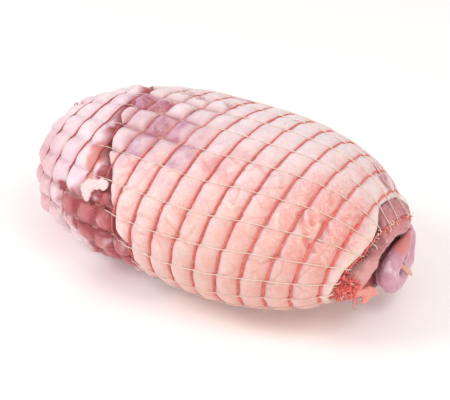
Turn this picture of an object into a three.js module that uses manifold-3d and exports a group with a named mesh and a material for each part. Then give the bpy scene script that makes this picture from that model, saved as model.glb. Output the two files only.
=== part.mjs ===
// A raw boned and rolled lamb shoulder in an elastic net, lying on its flattened underside.
// Millimetres, Z up. X runs along the roll from its far end to its cut end, and the fat cap faces -Y.
import * as THREE from 'three';
import { mergeVertices } from 'three/addons/utils/BufferGeometryUtils.js';
import Module from 'manifold-3d';

// The roll: where it starts, ends and is widest along X, and half its size across
const FAR_END = -118;
const CUT_END = 112;
const WIDEST_AT = 16;
const HALF_WIDTH = 70;
const HALF_HEIGHT = 50.5;

// How square the roll's outline is towards each end (2 is an ellipse): seen from above, and from the side
const FAR_FULLNESS = { plan: 2.5, side: 3.4 };
const CUT_FULLNESS = { plan: 2.35, side: 1.95 };

// The axis drops and bows sideways towards both ends, and the rings lean and turn as the net pulls them
const AXIS_HEIGHT = 44.8;
const AXIS_DROP = 8.7;
const AXIS_BOW = 6.3;
const HALF_SPAN = 120;
const LEAN = { middle: 0.18, growth: 0.13 };
const TURN_GROWTH = 0.15;

// The net: hoops round the roll, closer together towards the cut end, and threads that run along it
const HOOP_COUNT = 17;
const FIRST_HOOP_AT = 105;
const FIRST_PITCH = 12.35;
const PITCH_GROWTH = 0.134;
const THREAD_COUNT = 21;
const FIRST_THREAD_ANGLE = THREE.MathUtils.degToRad(15.6);
const THREAD_CROWDING = THREE.MathUtils.degToRad(3.2);
const NET_TWIST = { angle: THREE.MathUtils.degToRad(-13), from: 5, to: 100 };
const HOOP_WIDTH = 1.8;
const HOOP_HEIGHT = 1.5;
const THREAD_WIDTH = 1;
const THREAD_HEIGHT = 0.9;
const CORD_GAP = 0.35;

// The furrows that the net presses into the meat
const HOOP_FURROW = 2.4;
const HOOP_FURROW_HALF_WIDTH = 1.4;
const THREAD_FURROW = 1.6;

// The fat cap stands proud along a slanting edge near the far end and along a lip at the cut end
const CAP_EDGE_OVER_TOP = -68;
const CAP_EDGE_SLANT = 32;
const CAP_STEP = 2.4;
const CAP_STEP_RUN = 14;
const CAP_STEP_FADE = 60;
const CAP_SEAM_ANGLE = THREE.MathUtils.degToRad(285);
const CAP_SEAM_RUN = THREE.MathUtils.degToRad(40);
const LIP_AT = 100;
const LIP_STEP = 2.5;
const LIP_RUN = 10;

// The fold of lean meat that hangs out below the cut end
const FOLD_CENTRE = new THREE.Vector3(107.3, 15.5, 33);
const FOLD_HALF_SIZE = new THREE.Vector3(9.5, 24, 9);
const FOLD_TILT = THREE.MathUtils.degToRad(33);
const FOLD_BEND = 5;

// Columns of facets round the roll: one under each thread and one on the pillows beside it
const COLUMNS_PER_THREAD = 2;
const COLUMNS = THREAD_COUNT * COLUMNS_PER_THREAD;

// Rows of facets that round off the tips, as distances from the tip, and the facets of the fold
const CUT_TIP_ROWS = [0, 1.2];
const FAR_TIP_ROWS = [4, 1, 0];
const FOLD_FACETS = { around: 16, along: 12 };

// The step over which a direction is measured, and the distance within which two corners are one
const PROBE = 0.01;
const WELD = 0.0001;

const { smoothstep, euclideanModulo, clamp } = THREE.MathUtils;
const wasm = await Module();
wasm.setup();

// The stations of the hoops along X, from the cut end to the far end
const hoopStations = Array.from(
  { length: HOOP_COUNT },
  (_, i) => FIRST_HOOP_AT - FIRST_PITCH * i - PITCH_GROWTH * i * (i - 1) / 2,
);

// How far round the roll the fraction `turn` of its threads has come, crowded over the top and the base
function threadAngle(turn) {
  const even = FIRST_THREAD_ANGLE + 2 * Math.PI * turn;
  return even + THREAD_CROWDING * Math.sin(2 * even);
}

function netTwist(x) {
  return NET_TWIST.angle * smoothstep(x, NET_TWIST.from, NET_TWIST.to);
}

// A point of the smooth roll: angle 0 is the back, a quarter turn the top and a half turn the fat side
function rollPoint(x, angle) {
  const towardsFar = x < WIDEST_AT;
  const fullness = towardsFar ? FAR_FULLNESS : CUT_FULLNESS;
  const reach = towardsFar ? WIDEST_AT - FAR_END : CUT_END - WIDEST_AT;
  const along = Math.min(Math.abs(x - WIDEST_AT) / reach, 1);
  const halfWidth = HALF_WIDTH * (1 - along ** fullness.plan) ** (1 / fullness.plan);
  const halfHeight = HALF_HEIGHT * (1 - along ** fullness.side) ** (1 / fullness.side);
  const share = x / HALF_SPAN;
  const lean = LEAN.middle + LEAN.growth * share;
  const turn = TURN_GROWTH * share;
  const across = halfWidth * Math.cos(angle);
  const up = halfHeight * Math.sin(angle);
  return new THREE.Vector3(
    x + up * lean - across * turn,
    AXIS_BOW * share ** 2 + across,
    Math.max(AXIS_HEIGHT - AXIS_DROP * share ** 2 + up, 0),
  );
}

// The directions along and around the smooth roll at a point
function tangentsAt(x, angle) {
  const along = rollPoint(x + PROBE, angle).sub(rollPoint(x - PROBE, angle)).normalize();
  const around = rollPoint(x, angle + PROBE).sub(rollPoint(x, angle - PROBE)).normalize();
  return { along, around };
}

function outwardAt(x, angle) {
  if (x === FAR_END) return new THREE.Vector3(-1, 0, 0);
  if (x === CUT_END) return new THREE.Vector3(1, 0, 0);
  const { along, around } = tangentsAt(x, angle);
  return around.cross(along).normalize();
}

// A point that stands `lift` above the smooth roll, or below it where lift is negative
function pointAbove(x, angle, lift) {
  return rollPoint(x, angle).addScaledVector(outwardAt(x, angle), lift);
}

// How far the surface lies below the fat cap: beside its slanting edge, and past its lip at the cut end
function capDrop(x, angle) {
  const turned = euclideanModulo(angle - CAP_SEAM_ANGLE, 2 * Math.PI) + CAP_SEAM_ANGLE - 2 * Math.PI;
  const edge = CAP_EDGE_OVER_TOP + CAP_EDGE_SLANT * (turned - Math.PI / 2);
  const beyond = edge - x;
  const rise = 1 - smoothstep(beyond, CAP_STEP_RUN, CAP_STEP_FADE);
  const awayFromSeam = smoothstep(CAP_SEAM_ANGLE - turned, 0, CAP_SEAM_RUN);
  const beforeTip = smoothstep(x, FAR_END, FAR_END + CAP_STEP_RUN);
  const besideEdge = CAP_STEP * smoothstep(beyond, 0, CAP_STEP_RUN) * rise * awayFromSeam * beforeTip;
  const pastLip = LIP_STEP * smoothstep(x, LIP_AT, LIP_AT + LIP_RUN);
  return besideEdge + pastLip;
}

// How deep the net presses here: fully under a hoop, less under a thread, not at all on a pillow's crown
function furrowDepth(x, column) {
  const distances = hoopStations.map((station) => Math.abs(x - station));
  const nearest = distances.indexOf(Math.min(...distances));
  const halfPitch = (FIRST_PITCH + PITCH_GROWTH * nearest) / 2;
  const rise = (distances[nearest] - HOOP_FURROW_HALF_WIDTH) / (halfPitch - HOOP_FURROW_HALF_WIDTH);
  const underHoop = (1 - clamp(rise, 0, 1)) ** 2;
  const insideNet = x < hoopStations[0] && x > hoopStations[HOOP_COUNT - 1];
  const underThread = insideNet && column % COLUMNS_PER_THREAD === 0 ? 1 : 0;
  return HOOP_FURROW * underHoop + THREAD_FURROW * underThread * (1 - underHoop);
}

// The stations of the rows of facets: both sides of each furrow's floor and the rise between two furrows
function rowStations() {
  const rows = CUT_TIP_ROWS.map((distance) => CUT_END - distance);
  hoopStations.forEach((station, i) => {
    if (i > 0) rows.push((hoopStations[i - 1] + station) / 2);
    rows.push(station + HOOP_FURROW_HALF_WIDTH, station - HOOP_FURROW_HALF_WIDTH);
  });
  return rows.concat(FAR_TIP_ROWS.map((distance) => FAR_END + distance));
}

// The cap's drop is level across each furrow's floor, so that a hoop lies flat in it
function settledStation(x) {
  const hoop = hoopStations.find((station) => Math.abs(x - station) <= HOOP_FURROW_HALF_WIDTH + PROBE);
  return hoop ?? x;
}

function placeVertices(geometry, place) {
  geometry.deleteAttribute('normal');
  const position = geometry.attributes.position;
  for (let i = 0; i < position.count; i += 1) {
    const point = place(i, new THREE.Vector3().fromBufferAttribute(position, i));
    position.setXYZ(i, point.x, point.y, point.z);
  }
  geometry.deleteAttribute('uv');
  return mergeVertices(geometry, WELD);
}

function toSolid(geometry) {
  return new wasm.Manifold(new wasm.Mesh({
    numProp: 3,
    vertProperties: new Float32Array(geometry.attributes.position.array),
    triVerts: new Uint32Array(geometry.index.array),
  }));
}

function toGeometry(solid) {
  const mesh = solid.getMesh();
  const geometry = new THREE.BufferGeometry();
  geometry.setAttribute('position', new THREE.BufferAttribute(mesh.vertProperties, 3));
  geometry.setIndex(new THREE.BufferAttribute(mesh.triVerts, 1));
  return geometry;
}

// The roll itself: a sphere whose rows follow the hoops and whose columns follow the threads
function rolledMeat() {
  const rows = rowStations();
  const sphere = new THREE.SphereGeometry(1, COLUMNS, rows.length - 1);
  return placeVertices(sphere, (i) => {
    const x = rows[Math.floor(i / (COLUMNS + 1))];
    const column = i % (COLUMNS + 1);
    const angle = threadAngle(column / COLUMNS) + netTwist(x);
    const lift = -capDrop(settledStation(x), angle) - furrowDepth(x, column);
    return pointAbove(x, angle, lift);
  });
}

// The fold at the cut end: a long ball that hangs slantwise, its middle bent outwards
function endFold() {
  const ball = new THREE.SphereGeometry(1, FOLD_FACETS.around, FOLD_FACETS.along);
  return placeVertices(ball, (i, unit) => {
    const point = unit.clone().multiply(FOLD_HALF_SIZE);
    point.x += FOLD_BEND * (0.5 - unit.y ** 2);
    point.applyAxisAngle(new THREE.Vector3(1, 0, 0), FOLD_TILT);
    return point.add(FOLD_CENTRE);
  });
}

// A point of the net's cords. Even rows are hoops and odd rows lie halfway between two of them, even
// columns are threads and odd ones lie halfway between two. A cord's ridge is on its middle line, and its
// base stands off to one side, along the roll, around it or, at a crossing, both.
function cordPoint(row, column, offAlong, offAround, isRidge) {
  const onHoop = row % 2 === 0;
  const x = onHoop ? hoopStations[row / 2] : (hoopStations[(row - 1) / 2] + hoopStations[(row + 1) / 2]) / 2;
  const angle = threadAngle(column / COLUMNS) + netTwist(x);
  const base = CORD_GAP - (onHoop ? HOOP_FURROW : THREAD_FURROW) - capDrop(x, angle);
  const height = onHoop ? HOOP_HEIGHT : THREAD_HEIGHT;
  const { along, around } = tangentsAt(x, angle);
  return pointAbove(x, angle, isRidge ? base + height : base)
    .addScaledVector(along, offAlong * HOOP_WIDTH / 2)
    .addScaledVector(around, offAround * THREAD_WIDTH / 2);
}

// The net: one lattice of hoops and threads, each cord three-sided with its ridge outwards
function elasticNet() {
  const points = [];
  const faces = [];
  const known = new Map();
  const vertex = (row, column, offAlong, offAround, isRidge) => {
    const key = [row, column % COLUMNS, offAlong, offAround, isRidge].join();
    if (!known.has(key)) {
      known.set(key, points.length);
      points.push(cordPoint(row, column % COLUMNS, offAlong, offAround, isRidge));
    }
    return known.get(key);
  };
  const ridge = (row, column) => vertex(row, column, 0, 0, true);
  const base = (row, column, offAlong, offAround) => vertex(row, column, offAlong, offAround, false);
  const addFace = (corners, turned) => {
    const loop = turned ? corners.toReversed() : corners;
    for (let i = 2; i < loop.length; i += 1) {
      faces.push(loop[0], loop[i - 1], loop[i]);
    }
  };
  const lastRow = 2 * (HOOP_COUNT - 1);
  for (let row = 0; row <= lastRow; row += 2) {
    for (let column = 0; column < COLUMNS; column += 1) {
      const next = column + 1;
      const leaving = column % 2 === 0 ? 1 : 0;
      const arriving = next % 2 === 0 ? -1 : 0;
      const start = (side) => base(row, column, side, leaving);
      const finish = (side) => base(row, next, side, arriving);
      addFace([ridge(row, column), start(1), finish(1), ridge(row, next)], true);
      addFace([ridge(row, column), start(-1), finish(-1), ridge(row, next)], false);
      addFace([start(1), start(-1), finish(-1), finish(1)], true);
    }
  }
  for (let column = 0; column < COLUMNS; column += COLUMNS_PER_THREAD) {
    for (let row = 0; row < lastRow; row += 1) {
      const next = row + 1;
      const leaving = row % 2 === 0 ? -1 : 0;
      const arriving = next % 2 === 0 ? 1 : 0;
      const start = (side) => base(row, column, leaving, side);
      const finish = (side) => base(next, column, arriving, side);
      addFace([ridge(row, column), start(1), finish(1), ridge(next, column)], true);
      addFace([ridge(row, column), start(-1), finish(-1), ridge(next, column)], false);
      addFace([start(1), start(-1), finish(-1), finish(1)], true);
    }
    for (let row = 0; row <= lastRow; row += 2) {
      const corners = [[1, -1], [-1, -1], [-1, 1], [1, 1]].map(([a, b]) => base(row, column, a, b));
      addFace(corners, true);
    }
    addFace([ridge(0, column), base(0, column, 1, -1), base(0, column, 1, 1)], true);
    addFace([ridge(lastRow, column), base(lastRow, column, -1, -1), base(lastRow, column, -1, 1)], false);
  }
  return new THREE.BufferGeometry().setFromPoints(points).setIndex(faces);
}

function piece(name, geometry, finish) {
  const mesh = new THREE.Mesh(geometry, new THREE.MeshStandardMaterial(finish));
  mesh.name = name;
  return mesh;
}

const meat = toSolid(rolledMeat()).add(toSolid(endFold()));

const nettedShoulder = new THREE.Group();
nettedShoulder.add(
  piece('meat_roll', toGeometry(meat), { color: 0xe8b4a6, roughness: 0.5, metalness: 0 }),
  piece('net', elasticNet(), { color: 0xc9584c, roughness: 0.8, metalness: 0 }),
);

export default nettedShoulder;
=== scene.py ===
"""A raw boned and rolled lamb shoulder in an elastic net, dressed over its solids."""

import math
import random
from functools import reduce
from types import SimpleNamespace

import bmesh
import bpy
import numpy as np
from mathutils import Matrix, Vector, noise


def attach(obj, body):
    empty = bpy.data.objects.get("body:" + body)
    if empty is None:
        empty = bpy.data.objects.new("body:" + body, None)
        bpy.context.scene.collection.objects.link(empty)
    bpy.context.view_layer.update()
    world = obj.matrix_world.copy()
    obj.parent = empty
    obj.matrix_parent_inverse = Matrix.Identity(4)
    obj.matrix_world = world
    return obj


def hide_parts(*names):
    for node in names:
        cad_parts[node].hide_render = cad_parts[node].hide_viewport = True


bl_info = {
    "name": "Netted Lamb Shoulder",
    "version": (1, 0, 0),
    "blender": (4, 5, 0),
    "location": "View3D > Sidebar > Shoulder",
    "description": "Makes a raw rolled lamb shoulder in its elastic net",
    "category": "Object",
}

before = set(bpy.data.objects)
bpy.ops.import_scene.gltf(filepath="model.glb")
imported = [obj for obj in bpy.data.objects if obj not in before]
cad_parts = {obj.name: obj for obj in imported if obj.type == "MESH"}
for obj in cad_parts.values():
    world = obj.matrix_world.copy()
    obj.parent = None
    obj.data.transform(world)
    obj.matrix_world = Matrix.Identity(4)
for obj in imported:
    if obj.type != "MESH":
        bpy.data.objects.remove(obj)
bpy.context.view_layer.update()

MM = 0.001
DEGREE = math.pi / 180

# The roll's form, the same as the solid's: ends, widest place, half sizes and how square each end is
FAR_END = -118 * MM
CUT_END = 112 * MM
WIDEST_AT = 16 * MM
HALF_WIDTH = 70 * MM
HALF_HEIGHT = 50.5 * MM
FAR_FULLNESS = {"plan": 2.5, "side": 3.4}
CUT_FULLNESS = {"plan": 2.35, "side": 1.95}

# The roll's axis, the same as the solid's: its height, drop and bow, and how cross-sections lean and turn
AXIS_HEIGHT = 44.8 * MM
AXIS_DROP = 8.7 * MM
AXIS_BOW = 6.3 * MM
HALF_SPAN = 120 * MM
LEAN_MIDDLE = 0.18
LEAN_GROWTH = 0.13
TURN_GROWTH = 0.15

# The net's lattice, the same as the solid's
HOOP_COUNT = 17
FIRST_HOOP_AT = 105 * MM
FIRST_PITCH = 12.35 * MM
PITCH_GROWTH = 0.134 * MM
THREAD_COUNT = 21
FIRST_THREAD_ANGLE = 15.6 * DEGREE
THREAD_CROWDING = 3.2 * DEGREE
NET_TWIST = -13 * DEGREE
TWIST_FROM = 5 * MM
TWIST_TO = 100 * MM
HOOPS = [FIRST_HOOP_AT - FIRST_PITCH * i - PITCH_GROWTH * i * (i - 1) / 2 for i in range(HOOP_COUNT)]

# How far past its outermost hoops the net still presses, and how much each of its cells swells
NET_FADE = 4 * MM
CELL_PUFFS = np.random.default_rng(4).uniform(-1, 1, (HOOP_COUNT + 1, THREAD_COUNT))

# Angles round the roll run from the seam under its back, over the top and the front, to the seam again
SEAM_START = -75
SEAM_END = 285

# How far the fat laps over at the seam and how far its start is rounded, in degrees
SEAM_LAP = 12
SEAM_ROUNDING = 3

# The fat cap's edges: (angle in degrees, place along the roll in millimetres), and a place between the two
FAR_EDGE = (
    (SEAM_START, -103), (10, -102), (50, -84), (78, -64), (95, -60), (110, -58), (119, -51), (130, -48),
    (137, -45), (143, -37), (150, -34), (163, -25), (178, -20), (186, -12), (200, -6), (213, -4), (245, 14),
    (SEAM_END, 40),
)
CUT_EDGE = (
    (SEAM_START, 95), (30, 96), (60, 96), (80, 95), (89, 95.5), (100, 100.3), (114, 102.6), (135, 102.5),
    (153, 99.9), (171, 98.8), (196, 97), (SEAM_END, 95),
)
BETWEEN_EDGES = 30 * MM

# The first hoop has slipped off the cap and lies along its lip: (angle in degrees, millimetres along)
SLIPPED_HOOP = (
    (SEAM_START, 103), (20, 104.8), (75, 104.8), (92, 104), (103, 103.6), (114, 104.2), (135, 103.8),
    (153, 101.4), (171, 100.4), (196, 99.5), (SEAM_END, 103),
)

# The crevice over the fold on the cut end: (millimetres across, millimetres up)
CREVICE = (
    (-24, 18), (-21, 33), (-17, 41), (-12, 45.6), (-8, 48.3), (-2, 50.7), (9, 50.8), (21, 49),
    (33, 45.2), (40, 41),
)

# Patches on the fat cap and on the lean: (millimetres along, degrees round, half size of each)
BARE_LEAN = (
    (-45, 97, 8, 4), (-41, 93, 5, 5), (-53, 92, 5, 4), (-30, 110, 7, 6.5), (-64, 108, 6, 4), (-43, 72, 7, 5),
    (-31, 76, 5, 3), (-12, 75, 5, 2.5), (86, 60, 6, 7), (20, 20, 20, 8), (-50, -20, 25, 12), (60, -30, 16, 8),
)
LILAC_FAT = (
    (-52, 94, 12, 8), (80, 56, 8, 7), (-20, 40, 30, 18), (60, 20, 24, 14),
)
ROSY_FAT = (
    (13, 122, 5, 5), (25, 127, 6, 5), (38, 127, 6, 5), (50, 131, 7, 6), (53, 118, 6, 6), (62, 108, 7, 7),
    (74, 107, 9, 9), (85, 110, 6, 8), (86, 132, 9, 12), (84, 148, 10, 11), (66, 146, 9, 8), (45, 150, 9, 8),
    (15, 150, 7, 7), (9, 166, 7, 8), (70, 185, 22, 14), (0, 10, 40, 16),
)
PLAIN_LEAN = (
    (-54, 178, 15, 15), (-40, 172, 15, 10), (-40, 190, 20, 17), (-24, 180, 14, 14), (-22, 206, 24, 18),
    (-34, 222, 18, 16), (-66, 167, 7, 5), (-44, 146, 4, 7), (-58, 116, 4, 9), (-96, 20, 12, 22),
    (-100, 262, 10, 16), (-60, 262, 24, 20), (-36, 160, 9, 8),
)
STAINED_STRIP = ((-56, 133, 4, 6), (-53, 142, 4, 8), (-50, 154, 4, 6))
SWOLLEN_LEAN = ((106, 32, 9, 40),)

# Cells of the net with thin lilac fat: (row from the cut end, column from the first thread, how strong)
LILAC_CELLS = (
    (11, 6, 1.25), (11, 5, 0.9), (10, 5, 1), (9, 6, 1), (10, 6, 0.3), (12, 5, 0.4), (9, 5, 0.3),
    (10, 4, 0.25),
)

# Creases in the fat: (how deep, or high if negative, then points as millimetres along and degrees round)
CREASES = (
    (-0.7, (31, 138), (37, 140), (40, 136)),
    (-0.7, (37, 140), (40, 144)),
    (1, (67, 128), (71, 133), (74, 137)),
    (0.7, (73, 106), (76, 113)),
    (0.7, (85, 119), (88, 113), (91, 108)),
    (1, (75, 138), (77, 143), (82, 147)),
    (1, (79, 126), (84, 131)),
    (0.8, (71, 124), (75, 130)),
    (-0.8, (77, 129), (79, 136), (80, 141)),
    (-0.6, (58, 134), (61, 141)),
    (0.5, (48, 112), (52, 119)),
    (-0.5, (88, 150), (91, 157)),
)

# The fold on the cut end, its rim and the bits beside it: (along, across, up, radius) in millimetres
FOLD_LOBE = (
    (107.5, 33, 40.5, 2), (109, 26.4, 40, 3.4), (110, 18.3, 38.5, 4.8), (111, 10.3, 36.2, 5.8),
    (111, 4.6, 32.6, 6.6), (110.5, 3.6, 27, 7), (110, 9, 20.5, 6.6), (110, 16, 16.8, 5.2),
    (109.5, 22.5, 17.5, 3.8),
)
FOLD_RIM = (
    (105, 36, 41, 2.2), (107.5, 35, 38, 2.4), (109.5, 31.4, 34, 2.5), (110, 29.8, 28.8, 2.6),
    (110, 29.6, 23, 2.8), (109.5, 26.5, 18.6, 3.2),
)
FOLD_WEB = ((108, 28, 37, 3.4), (108.5, 24, 33, 4.4), (108.5, 20, 27, 5.4), (108, 20, 22, 5.6))
FOLD_ROOT = (
    (98, 30, 37, 6.5), (99, 20, 36, 8.5), (99.5, 11, 32, 9.5), (99.5, 3, 26, 9.5), (99.5, -5, 24, 9),
    (98, -12, 23.5, 7),
)
TENDON = ((114, 9.8, 33.2, 1), (115, 13.9, 28.9, 1.5), (114.5, 20.9, 22.5, 1.5), (113, 27, 17, 0.9))
LOOSE_FLAP = (
    (104, -26, 30, 1.8), (106, -25.8, 29.6, 2), (108, -22.9, 29.4, 2.2), (109.5, -19.2, 28.6, 2.6),
    (110.5, -14.5, 27.2, 2.6), (111, -9.8, 23.6, 1.8),
)
FLAP_TIP = ((109.5, -18, 27, 2.4), (110, -17.6, 24.1, 2.4), (109.5, -18.6, 21.2, 1.3))

# How many balls are strung along each of these paths
FOLD_BALLS = 26
TENDON_BALLS = 24
FLAP_BALLS = 22
TIP_BALLS = 10

# Salmon places on the fold: a centre and its spans, each (along, across, up) in millimetres
SALMON_FACE = ((113, 19, 42), (7, 11, 6))
SALMON_STRIP = ((107, 31, 45), (6, 5, 3.5))

# The groove between the fold's lobes: its stops and their spans, each (along, across, up) in millimetres
FOLD_GROOVE = ((111, 23, 36), (111, 20, 32), (111, 17.5, 28), (110, 17, 24))
FOLD_GROOVE_SPANS = (4, 2.2, 2.5)

# Directions across which the lumps are flat, and how flat the fold is
ALONG_ROLL = (1, 0, 0)
TOWARDS_LIP = (1, -1, 0)
UPWARDS = (0, 0, 1)
FOLD_FLATNESS = 0.85

# The torn scrap of fat below the cap's far edge: (millimetres along, degrees round, radius), and its depth
TORN_SCRAP = (
    (-48.5, 160.5, 3.2), (-46.5, 157.5, 3.6), (-45.5, 162.5, 3.4), (-44, 157, 3.8), (-41.5, 155.5, 3),
    (-39, 153.5, 3.2), (-36.5, 153.5, 3), (-35.8, 156, 1.8), (-44.5, 166.5, 2), (-47.5, 164.5, 1.8),
)
TORN_SCRAP_DEPTH = 1.2 * MM

# Grids of the skins, and how finely cords follow their paths
CAP_COLUMNS = 420
CAP_ROWS = 210
CAP_EDGE_ROWS = 9
LEAN_COLUMNS = 360
LEAN_ROWS = 262
POINTS_PER_CELL = 10

# Cords: the length in which their strands twist once round, their sections, and their height off the floor
HOOP_LAY = 5 * MM
THREAD_LAY = 4 * MM
FRAY_LAY = 3 * MM
STRANDS = 2
STRAND_BULGE = 0.16
HOOP_SIDES = 8
THREAD_SIDES = 6
RADII_OFF_FLOOR = 1.2

# Loose yarn: how many ends of each kind there are, and how long they are in millimetres
RANDOM_SEED = 7
TUFT_SHREDS = 90
TUFT_CURLS = 110
FRAY_CURLS = 60
FAR_CURLS = 4
DANGLING_CURLS = 4
SHRED_LENGTHS = (3, 6)
CURL_LENGTHS = (4, 9)
FRAY_LENGTHS = (2.5, 6)
FAR_LENGTHS = (2, 3.5)
DANGLING_LENGTHS = (9, 13)

# Where the tuft grows: degrees round and millimetres past the lip, each (from, to, most often)
TUFT_ROUND = (166, 228, 194)
TUFT_PAST_LIP = (0, 9, 3)

# Where yarn frays: degrees round the lip, and at the far end (millimetres along, degrees round)
FRAY_ROUND = (40, 176)
FAR_FRAY = (-101, 104)

# Where yarn dangles from the lip: (along, across, up) in millimetres
DANGLING_END = (106.5, -26, 31)

# The studio in metres and watts: an even sky, a soft key light, a warmer fill and a floor that glows a little
SKY_COLOUR = (1, 0.99, 0.985, 1)
SKY_STRENGTH = 0.66
KEY_LIGHT = {"place": (-0.8, -0.75, 1.0), "size": 0.6, "power": 7.2, "colour": (1, 0.985, 0.985)}
FILL_LIGHT = {"place": (0.78, -0.2, 1.1), "size": 0.7, "power": 5.4, "colour": (1, 0.95, 0.92)}
FLOOR_HALF_SIZE = 6
FLOOR_GLOW = {"emission_color": (1, 0.89, 0.85, 1), "emission_strength": 0.12}

# The camera: what it looks at, from where, and how long its lens is in pixels of the picture
CAMERA_TARGET = Vector((0.8, 4.8, 38.2)) * MM
CAMERA_AZIMUTH = 35.34 * DEGREE
CAMERA_ELEVATION = 30 * DEGREE
CAMERA_DISTANCE = 1003 * MM
CAMERA_FOCUS_PIXELS = 1740
PICTURE_WIDTH_PIXELS = 450
SENSOR_WIDTH = 36


def linear(colour):
    """A display colour as the light values that shaders use."""
    return [c / 12.92 if c <= 0.04045 else ((c + 0.055) / 1.055) ** 2.4 for c in colour[:3]] + [1.0]


def smoothstep(low, high, value):
    """0 up to `low`, 1 from `high` on, and a smooth rise between them."""
    share = np.clip((value - low) / (high - low), 0, 1)
    return share * share * (3 - 2 * share)


def band(value, start, full, fading, gone):
    """How far a value lies in a band: it rises from `start` to `full` and falls from `fading` to `gone`."""
    return smoothstep(start, full, value) * (1 - smoothstep(fading, gone, value))


def run_along(points):
    """How far each point of a path lies from its first one, along the path."""
    steps = np.linalg.norm(np.diff(points, axis=0), axis=1)
    return np.concatenate([[0], np.cumsum(steps)])


def colour_property(name, red, green, blue, description):
    return bpy.props.FloatVectorProperty(
        name=name, description=description, subtype="COLOR_GAMMA", min=0, max=1,
        default=(red / 255, green / 255, blue / 255),
    )


def length_property(name, millimetres, description):
    return bpy.props.FloatProperty(
        name=name, description=description, unit="LENGTH", subtype="DISTANCE", precision=5,
        default=millimetres * MM,
    )


class ShoulderSizes(bpy.types.PropertyGroup):
    """Sizes of the meat's relief and of the net's cords."""

    cap_thickness: length_property("Cap thickness", 4.4, "How thick the fat cap is at its edges")
    hoop_furrow: length_property("Hoop furrow", 3.2, "How deep a hoop presses where the meat is soft")
    firm_hoop_furrow: length_property("Firm hoop furrow", 1.5, "How deep a hoop presses into the firm fat")
    thread_furrow: length_property("Thread furrow", 3.6, "How deep a thread presses where the meat is soft")
    firm_thread_furrow: length_property("Firm thread furrow", 0.2, "How deep a thread presses into firm fat")
    gap_depth: length_property("Gap depth", 4.6, "How far the lean lies below the cap beside its far edge")
    lip_depth: length_property("Lip depth", 3, "How far the lean lies below the fat cap beside its lip")
    hollow_depth: length_property("Hollow depth", 8, "How far the cut end sinks in behind its fold")
    hoop_radius: length_property("Hoop radius", 0.72, "Radius of the elastic cord of a hoop")
    thread_radius: length_property("Thread radius", 0.29, "Radius of a lengthwise thread")
    fray_radius: length_property("Fray radius", 0.34, "Radius of a loose end of yarn")
    hoop_jog: length_property("Hoop jog", 0.9, "How far a hoop steps sideways where a thread crosses it")


class ShoulderColours(bpy.types.PropertyGroup):
    """Colours of the meat and of the net."""

    fat: colour_property("Fat", 246, 216, 212, "Firm outer fat")
    rosy_fat: colour_property("Rosy fat", 242, 151, 137, "Fat with blood in it")
    lilac_fat: colour_property("Lilac fat", 202, 138, 168, "Thin fat over dark lean")
    # Pale fat also paints the highlight on top of the roll, where light falls from above
    pale_fat: colour_property("Pale fat", 248, 234, 238, "Dry fat on top of the roll")
    cream_fat: colour_property("Cream fat", 254, 230, 214, "Thick dry fat along the lip")
    # Peach fat is painted shade: the darker, warmer fat low on the front
    shaded_peach_fat: colour_property("Peach fat", 233, 186, 166, "Moist fat low on the front")
    lean: colour_property("Lean", 173, 68, 74, "Dark lean meat")
    # This dark lean is painted shade, laid in gaps, grooves, creases and the fold's crevice
    shadowed_lean: colour_property("Deep lean", 96, 30, 34, "Lean in the gaps and grooves")
    membrane: colour_property("Membrane", 240, 215, 225, "Thin silvery skin over the lean")
    mauve_lean: colour_property("Mauve lean", 216, 138, 142, "Lean meat under thin skin")
    stained_fat: colour_property("Stained fat", 224, 136, 122, "Fat stained by the lean beside it")
    hoop: colour_property("Hoop", 246, 108, 98, "Elastic cord of the hoops")
    worn_hoop: colour_property("Worn hoop", 250, 168, 156, "Worn fibres of the hoops")
    thread: colour_property("Thread", 255, 234, 216, "Lengthwise threads")
    sinew: colour_property("Sinew", 233, 168, 136, "Yellowish bits of sinew")
    floor: colour_property("Floor", 250, 248, 247, "Floor under the roll")


def sizes():
    return bpy.context.scene.shoulder_sizes


def colours():
    return bpy.context.scene.shoulder_colours


def tints():
    """The colours by name, as light values."""
    names = ShoulderColours.__annotations__
    return SimpleNamespace(**{name: linear(getattr(colours(), name)) for name in names})


def roll_point(x, angle):
    """Points of the smooth roll: angle 0 is the back, a quarter turn the top and a half turn the front."""
    far = x < WIDEST_AT
    reach = np.where(far, WIDEST_AT - FAR_END, CUT_END - WIDEST_AT)
    along = np.minimum(np.abs(x - WIDEST_AT) / reach, 1)
    plan = np.where(far, FAR_FULLNESS["plan"], CUT_FULLNESS["plan"])
    side = np.where(far, FAR_FULLNESS["side"], CUT_FULLNESS["side"])
    half_width = HALF_WIDTH * (1 - along**plan) ** (1 / plan)
    half_height = HALF_HEIGHT * (1 - along**side) ** (1 / side)
    share = x / HALF_SPAN
    across = half_width * np.cos(angle)
    up = half_height * np.sin(angle)
    return np.stack([
        x + up * (LEAN_MIDDLE + LEAN_GROWTH * share) - across * TURN_GROWTH * share,
        AXIS_BOW * share**2 + across,
        np.maximum(AXIS_HEIGHT - AXIS_DROP * share**2 + up, 0),
    ], axis=-1)


def outward(x, angle):
    """The directions that point straight out of the smooth roll."""
    step = 0.05 * MM
    turn = 0.002
    ahead = np.minimum(x + step, CUT_END)
    behind = np.maximum(x - step, FAR_END)
    along = roll_point(ahead, angle) - roll_point(behind, angle)
    around = roll_point(x, angle + turn) - roll_point(x, angle - turn)
    normal = np.cross(around, along)
    length = np.linalg.norm(normal, axis=-1, keepdims=True)
    tip = np.stack([np.sign(x), np.zeros_like(x), np.zeros_like(x)], axis=-1)
    return np.where(length > 1e-14, normal / np.maximum(length, 1e-14), tip)


def point_above(x, angle, lift, clearance=0.02 * MM):
    """Points that stand `lift` above the smooth roll and at least `clearance` above the floor."""
    points = roll_point(x, angle) + outward(x, angle) * lift[..., None]
    points[..., 2] = np.maximum(points[..., 2], clearance)
    return points


def net_twist(x):
    return NET_TWIST * smoothstep(TWIST_FROM, TWIST_TO, x)


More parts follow.
